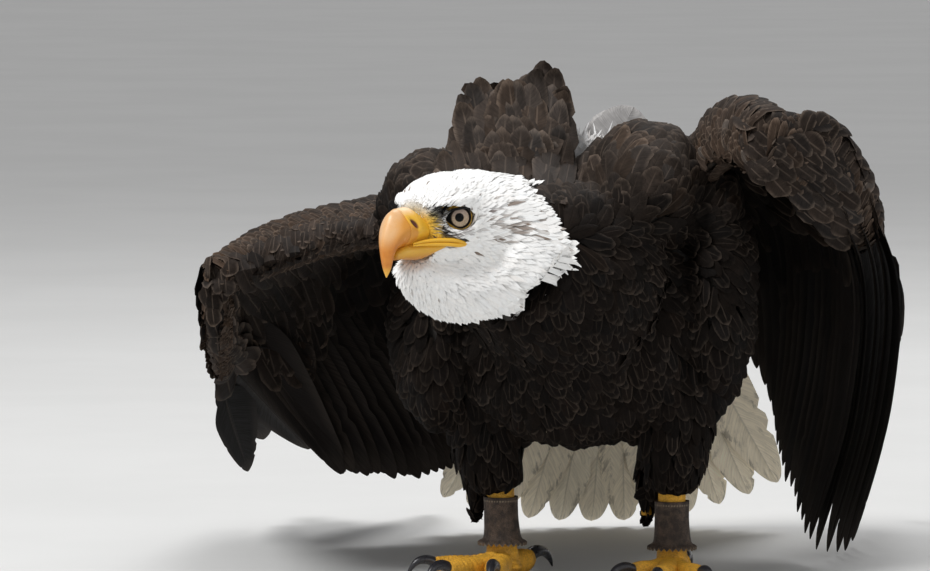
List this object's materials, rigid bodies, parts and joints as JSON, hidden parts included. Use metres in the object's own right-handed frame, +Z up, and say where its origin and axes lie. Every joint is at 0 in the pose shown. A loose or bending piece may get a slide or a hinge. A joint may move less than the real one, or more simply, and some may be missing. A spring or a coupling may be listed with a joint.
{
  "type": "bald eagle",
  "caption": "Life-size adult bald eagle standing hunched forward, white head low and turned to its right, dark wings half open and drooped, white tail spread to the floor.",
  "frame": {"origin": "middle of the bird's bounding box in X and Y, on the floor plane that its feet, tail and lowest wing feathers rest on", "axes": "+Z up; +Y to the bird's rear, where the tail and wing tips trail; the bird faces -Y, with its head turned towards -X; +X is the bird's left"},
  "size_m": [0.5142, 0.6412, 0.3633],
  "materials": {
    "plumage_white": "soft white feathers with a few grey-brown flecks",
    "plumage_brown": "dark brown feathers with paler edges",
    "plumage_flight": "blackish brown flight feathers, greyer beneath",
    "plumage_tail": "cream-white tail feathers with dark mottling",
    "bill": "smooth orange-yellow horn",
    "cere": "waxy yellow skin",
    "eye": "wet, pale cream iris and black pupil",
    "toe_skin": "scaled orange-yellow skin",
    "claw": "polished black horn",
    "anklet_leather": "dark worn leather"
  },
  "bodies": {
    "root": {"anklet_left": "anklet_leather", "anklet_right": "anklet_leather", "bill_cere": "cere", "bill_lower": "bill", "bill_upper": "bill", "claw_left_hind": "claw", "claw_left_inner": "claw", "claw_left_middle": "claw", "claw_left_outer": "claw", "claw_right_hind": "claw", "claw_right_inner": "claw", "claw_right_middle": "claw", "claw_right_outer": "claw", "eye_left": "eye", "eye_right": "eye", "foot_left": "toe_skin", "foot_right": "toe_skin", "head": "plumage_white", "mantle_raised": "plumage_brown", "neck_base": "plumage_brown", "neck_hood": "plumage_white", "rump": "plumage_brown", "scapular_lifted": "plumage_brown", "tail": "plumage_tail", "tarsus_left": "toe_skin", "tarsus_right": "toe_skin", "thigh_left": "plumage_brown", "thigh_right": "plumage_brown", "trunk": "plumage_brown", "wing_left_alula": "plumage_flight", "wing_left_arm": "plumage_brown", "wing_left_hand": "plumage_brown", "wing_left_primaries": "plumage_flight", "wing_left_primary_10": "plumage_flight", "wing_left_primary_8": "plumage_flight", "wing_left_primary_9": "plumage_flight", "wing_left_secondaries": "plumage_flight", "wing_right_alula": "plumage_flight", "wing_right_arm": "plumage_brown", "wing_right_hand": "plumage_brown", "wing_right_primaries": "plumage_flight", "wing_right_primary_10": "plumage_flight", "wing_right_primary_8": "plumage_flight", "wing_right_primary_9": "plumage_flight", "wing_right_secondaries": "plumage_flight"}
  },
  "joints": []
}
